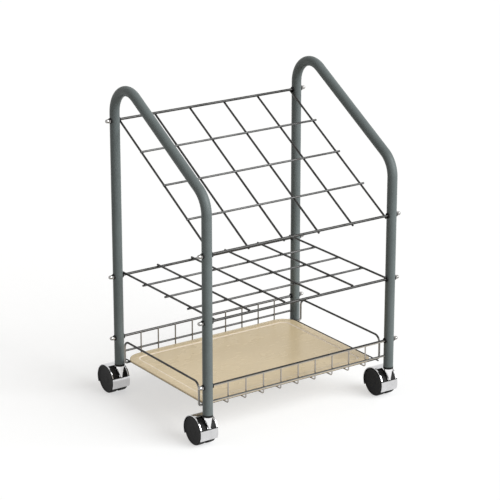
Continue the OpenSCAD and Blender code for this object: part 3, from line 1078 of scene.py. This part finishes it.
@dataclass
class Tray:
    """The loose moulded tray: a floor, a soft step and a raised margin."""

    centre: Pair = (-9.5 * MM, 5.0 * MM)
    width: float = 387.0 * MM
    depth: float = 281.9 * MM
    bottom_z: float = 75.9 * MM
    wall: float = 2.5 * MM
    rise: float = 1.1 * MM
    front_corner: float = 19.0 * MM
    back_corner: float = 34.0 * MM
    least_corner: float = 8.0 * MM
    corner_steps: int = 20
    margin: float = 20.5 * MM
    step: float = 4.2 * MM
    step_steps: int = 12
    # The share of the step, from its top, that gets the painted highlight line.
    highlight_band: float = 0.7
    floor_lap: float = 1.5 * MM
    lip: float = 0.9 * MM
    lip_steps: int = 6
    crease: float = 40.0

    def profile(self) -> list[Pair]:
        """Follows the tray's section from below to the floor.

        Returns:
            Pairs of distance in from the edge and height.
        """
        top = self.wall + self.rise
        lower = arc((self.lip, self.lip), self.lip, 270, 180, self.lip_steps)
        upper = arc((self.lip, top - self.lip), self.lip, 180, 90, self.lip_steps)
        slope = []
        for number in range(self.step_steps + 1):
            share = number / self.step_steps
            eased = share * share * (3 - 2 * share)
            slope.append((self.margin - self.step + self.step * share, top - self.rise * eased))
        return [(self.margin, 0.0), *lower, *upper, *slope,
                (self.margin + self.floor_lap, self.wall)]

    def ring(self, inset: float, height: float) -> list[Point]:
        """Points round the tray at one distance in from its edge.

        Args:
            inset: The distance in from the edge.
            height: The height above the tray's underside.

        Returns:
            The points, anticlockwise.
        """
        points: list[Point] = []
        for start, sign_x, sign_y in ((0, 1, 1), (90, -1, 1), (180, -1, -1), (270, 1, -1)):
            outer = self.front_corner if sign_y < 0 else self.back_corner
            radius = max(outer - inset, self.least_corner)
            half_w = self.width / 2 - inset - radius
            half_d = self.depth / 2 - inset - radius
            centre = (sign_x * half_w + self.centre[0], sign_y * half_d + self.centre[1])
            corner = arc(centre, radius, start, start + 90, self.corner_steps)
            points += [(x, y, self.bottom_z + height) for x, y in corner]
        return points

    def build(self) -> None:
        """Makes the tray from rings and closes its floor."""
        profile = self.profile()
        # Rings on the upper part of the step are marked for the finish's painted highlight
        # line.
        start = self.margin - self.highlight_band * self.step
        highlight_band = [start < inset <= self.margin and height > 0 for inset, height in profile]
        mesh = closed_mesh("moulded_tray", [self.ring(*pair) for pair in profile],
                           "step", highlight_band)
        place(mesh, "moulded_tray", TRAY_TAN, self.crease, nodes=["tray"])


@dataclass
class Fasteners:
    """Cap nuts on the rod ends, and the washers that the rods clamp."""

    face_x: float = 217.95 * MM
    levels: tuple[Pair, ...] = (
        (POST_Y, UPPER_BACK_Z), (-POST_Y, UPPER_FRONT_Z), (POST_Y, MIDDLE_Z),
        (-POST_Y, MIDDLE_Z), (POST_Y, RAIL_Z), (-POST_Y, RAIL_Z))
    flats: float = 8.0 * MM
    length: float = 10.0 * MM
    hex_length: float = 4.0 * MM
    chamfer: float = 0.35 * MM
    shoulder: Pair = (0.6 * MM, 0.75 * MM)
    waist: Pair = (0.2 * MM, 0.05 * MM)
    dome_inset: float = 0.3 * MM
    dome_end: float = 8.0
    dome_steps: int = 12
    sides: int = 48
    crease: float = 28.0

    def hexagon(self, angle: float, cut: float) -> float:
        """The hexagon's radius at an angle.

        Args:
            angle: The angle round the nut, in radians.
            cut: How far the corners are moved out.

        Returns:
            The radius.
        """
        off = (angle % (math.pi / 3)) - math.pi / 6
        corner = self.flats / 2 / math.cos(math.pi / 6)
        return min(self.flats / 2 / math.cos(off), corner + cut)

    def nut(self) -> bpy.types.Object:
        """One cap nut along +X: a chamfered hexagon, a waist and a dome.

        Returns:
            The nut, not yet in the scene.
        """
        angles = [2 * math.pi * step / self.sides for step in range(self.sides)]
        dome = self.flats / 2 - self.dome_inset
        cuts = [(0.0, -self.chamfer), (self.chamfer, 0.0),
                (self.hex_length - self.shoulder[0], 0.0), (self.hex_length, -self.shoulder[1])]
        round_part = [(self.hex_length, dome + self.waist[1]),
                      (self.hex_length + self.waist[0], dome),
                      *arc((self.length - dome, 0.0), dome, 90, self.dome_end, self.dome_steps)]
        sections = [(along, [self.hexagon(angle, cut) for angle in angles])
                    for along, cut in cuts]
        sections += [(along, [radius] * self.sides) for along, radius in round_part]
        rings = [[(along, radius * math.sin(angle), radius * math.cos(angle))
                  for angle, radius in zip(angles, radii)] for along, radii in sections]
        mesh = closed_mesh("cap_nut", rings)
        mesh.materials.append(NUT_CHROME.material)
        return bpy.data.objects.new("cap_nut", mesh)

    def build(self, copies: RepeatSheet) -> None:
        """Puts the nuts on the rod ends and finishes the washers.

        Args:
            copies: The tree that repeats a part.
        """
        nut = self.nut()
        for side, word, turned in ((-1, "left", math.pi), (1, "right", 0.0)):
            base = points_mesh(word + "_nut_places",
                               [(side * self.face_x, y, z) for y, z in self.levels])
            turn = base.attributes.new("turn", "FLOAT_VECTOR", "POINT")
            turn.data.foreach_set("vector", [0.0, 0.0, turned] * len(self.levels))
            mesh = copies.make(word + "_nuts", base, NUT_CHROME, {"Part": nut})
            place(mesh, word + "_nuts", NUT_CHROME, self.crease, nodes=[word + "_cap_nuts"])
            dress(word + "_saddle_washers", WASHER_BLACK)
        bpy.data.objects.remove(nut)


@dataclass
class Caster:
    """A twin wheel caster: a chromed hood on a stem, and two plain wheels."""

    name: str
    post: Pair
    trail: float = 23.5 * MM
    wheel_radius: float = 27.5 * MM
    inner_x: float = 3.9 * MM
    outer_x: float = 17.9 * MM
    inner_edge: float = 1.0 * MM
    edge_steps: int = 4
    bore: float = 3.05 * MM
    bore_end: float = 16.3 * MM
    bore_edge: float = 0.3 * MM
    shoulder: float = 3.0 * MM
    shoulder_steps: int = 8
    dusty: float = 1.6 * MM
    rim_steps: tuple[Pair, ...] = ((0.0, 3.6), (0.1, 4.0), (0.55, 4.6), (0.6, 5.0))
    hub_steps: tuple[Pair, ...] = ((0.6, 9.0), (0.75, 8.8), (0.75, 8.2), (0.6, 8.0),
                                   (0.6, 3.0), (0.6, 0.0))
    sides: int = 96
    crease: float = 35.0

    def wheel_profile(self) -> list[Pair]:
        """Follows the wheel's section from the bore to the hub.

        The steps on the outer face are pairs in millimetres: in from the face,
        and then in from the rim or out from the axle.

        Returns:
            Pairs of distance along the axle and radius.
        """
        rim, face, edge = self.wheel_radius, self.outer_x, self.inner_edge
        tread = arc((face - self.shoulder, rim - self.shoulder), self.shoulder, 90, 0,
                    self.shoulder_steps)
        inner = arc((self.inner_x + edge, rim - edge), edge, 180, 90, self.edge_steps)
        disc = [(face - sunk * MM, rim - inset * MM) for sunk, inset in self.rim_steps]
        disc += [(face - sunk * MM, radius * MM) for sunk, radius in self.hub_steps]
        bore = [(self.bore_end, 0.0), (self.bore_end, self.bore),
                (self.inner_x + self.bore_edge, self.bore),
                (self.inner_x, self.bore + self.bore_edge)]
        return [*bore, (self.inner_x, rim - edge), *inner[1:], *tread, *disc]

    def wheel(self, name: str) -> Mesh:
        """Turns the wheel's profile about X, with its tread marked.

        Args:
            name: The mesh's name.

        Returns:
            The new mesh.
        """
        profile = self.wheel_profile()
        turns = [2 * math.pi * step / self.sides for step in range(self.sides)]
        rings = [[(along, radius * math.cos(turn), radius * math.sin(turn))
                  for turn in (turns if radius > TIP_RADIUS else turns[:1])]
                 for along, radius in profile]
        dusty = [radius > self.wheel_radius - self.dusty for _, radius in profile]
        return closed_mesh(name, rings, "tread", dusty)

    def build(self) -> None:
        """Makes both wheels and finishes the hood, stem, ring and axle."""
        middle = Matrix.Translation((self.post[0], self.post[1] + self.trail,
                                     self.wheel_radius))
        for turned, word in ((math.pi, "left"), (0.0, "right")):
            name = f"{self.name}_{word}_disc"
            mesh = self.wheel(name)
            mesh.transform(middle @ Matrix.Rotation(turned, 4, "Z"))
            place(mesh, name, WHEEL_BLACK, self.crease, f"{self.name}_{word}_wheel",
                  [f"{self.name}_caster_{word}_wheel"])
        dress(self.name + "_caster_hood", HOOD_CHROME)
        for part in ("stem", "grip_ring", "axle"):
            dress(self.name + "_caster_" + part, PIN_STEEL)


@dataclass
class Studio:
    """A pale floor, soft light and the camera of the photograph."""

    azimuth: float = -34.798
    elevation: float = 18.580
    roll: float = 0.038
    distance: float = 4.0254
    target: Point = (-0.00874, 0.0, 0.29772)
    focal: float = 154.14
    sensor: float = 36.0
    clip: Pair = (0.05, 100.0)
    floor_half: float = 14.0
    floor_colour: Colour = (0.5, 0.5, 0.5)
    floor_lift: float = 0.56
    sky: float = 0.31
    sky_colour: Colour = (1.0, 0.94, 0.86)
    sun_strength: float = 3.9
    sun_angle: float = 50.0
    sun_colour: Colour = (0.97, 1.0, 1.02)
    sun_from: Point = (0.457, -0.888, 0.577)

    def build(self) -> None:
        """Makes the floor, the light and the camera."""
        self._floor()
        self._world()
        self._sun()
        self._camera()
        bpy.context.scene.view_settings.view_transform = "Standard"

    def _seen(self, sheet: NodeSheet) -> Number:
        """1 for camera, glossy and transmission rays, and 0 for the rest.

        Args:
            sheet: The sheet to write in.

        Returns:
            The value.
        """
        path = sheet.node("ShaderNodeLightPath").outputs
        seen = Number(sheet, path["Is Camera Ray"]).or_more(path["Is Glossy Ray"])
        return seen.or_more(path["Is Transmission Ray"])

    def _floor(self) -> None:
        """A wide pale floor, lifted to white where it is seen."""
        half = self.floor_half
        mesh = bpy.data.meshes.new("studio_floor")
        mesh.from_pydata([(-half, -half, 0), (half, -half, 0), (half, half, 0),
                          (-half, half, 0)], [], [(0, 1, 2, 3)])
        sheet = ShaderSheet("studio_floor")
        matte = sheet.node("ShaderNodeBsdfDiffuse", {"Color": self.floor_colour})
        lift = sheet.node("ShaderNodeEmission",
                          {"Color": WHITE, "Strength": self.floor_lift * self._seen(sheet)})
        both = sheet.node("ShaderNodeAddShader", {0: matte, 1: lift})
        sheet.node("ShaderNodeOutputMaterial", {"Surface": both})
        mesh.materials.append(sheet.material)
        floor = add("studio_floor", mesh)

    def _world(self) -> None:
        """An even sky for light, white where it is seen."""
        world = bpy.data.worlds.new("studio")
        bpy.context.scene.world = world
        world.use_nodes = True
        sheet = NodeSheet(world.node_tree)
        light, white = (sheet.node("ShaderNodeBackground",
                                   {"Color": colour, "Strength": strength})
                        for colour, strength in ((self.sky_colour, self.sky), (WHITE, 1.0)))
        blend = sheet.node("ShaderNodeMixShader",
                           {"Fac": self._seen(sheet), 1: light, 2: white})
        sheet.node("ShaderNodeOutputWorld", {"Surface": blend})

    def _sun(self) -> None:
        """One wide soft key light from the right."""
        lamp = bpy.data.lights.new("soft_key", "SUN")
        lamp.energy = self.sun_strength
        lamp.color = self.sun_colour
        lamp.angle = math.radians(self.sun_angle)
        key = add("soft_key", lamp)
        key.rotation_euler = Vector(self.sun_from).to_track_quat("Z", "Y").to_euler()

    def _camera(self) -> None:
        """The photograph's camera."""
        turn, rise = math.radians(self.azimuth), math.radians(self.elevation)
        back = Vector((math.sin(turn) * math.cos(rise), -math.cos(turn) * math.cos(rise),
                       math.sin(rise)))
        lens = bpy.data.cameras.new("photograph")
        lens.lens = self.focal
        lens.sensor_width = self.sensor
        lens.clip_start, lens.clip_end = self.clip
        camera = add("photograph", lens)
        spot = Matrix.Translation(Vector(self.target) + back * self.distance)
        look = (-back).to_track_quat("-Z", "Y").to_matrix().to_4x4()
        camera.matrix_world = spot @ look @ Matrix.Rotation(math.radians(self.roll), 4, "Z")
        bpy.context.scene.camera = camera


def main() -> None:
    """Builds the wire file's looks, piece by piece."""
    logging.basicConfig(level=logging.INFO, format="%(name)s: %(message)s")
    Studio().build()
    for side in ("left", "right"):
        dress(side + "_side_frame", FRAME_PAINT)
    shop = WireShop()
    WireGrid("upper_grid", UPPER_BACK_Z, UPPER_FRONT_Z, Layer.BELOW,
             "upper_grid_slope_wires").build(shop)
    WireGrid("middle_grid", MIDDLE_Z, MIDDLE_Z, Layer.ABOVE,
             "middle_grid_depth_wires").build(shop)
    Basket().build(shop)
    Tray().build()
    Fasteners().build(copies_tree())
    dress("caster_sockets", SOCKET_BLACK)
    for depth_word, y in (("front", -POST_Y), ("back", POST_Y)):
        for side_word, x in (("left", -POST_X), ("right", POST_X)):
            Caster(f"{depth_word}_{side_word}", (x, y)).build()


if __name__ == "__main__":
    main()
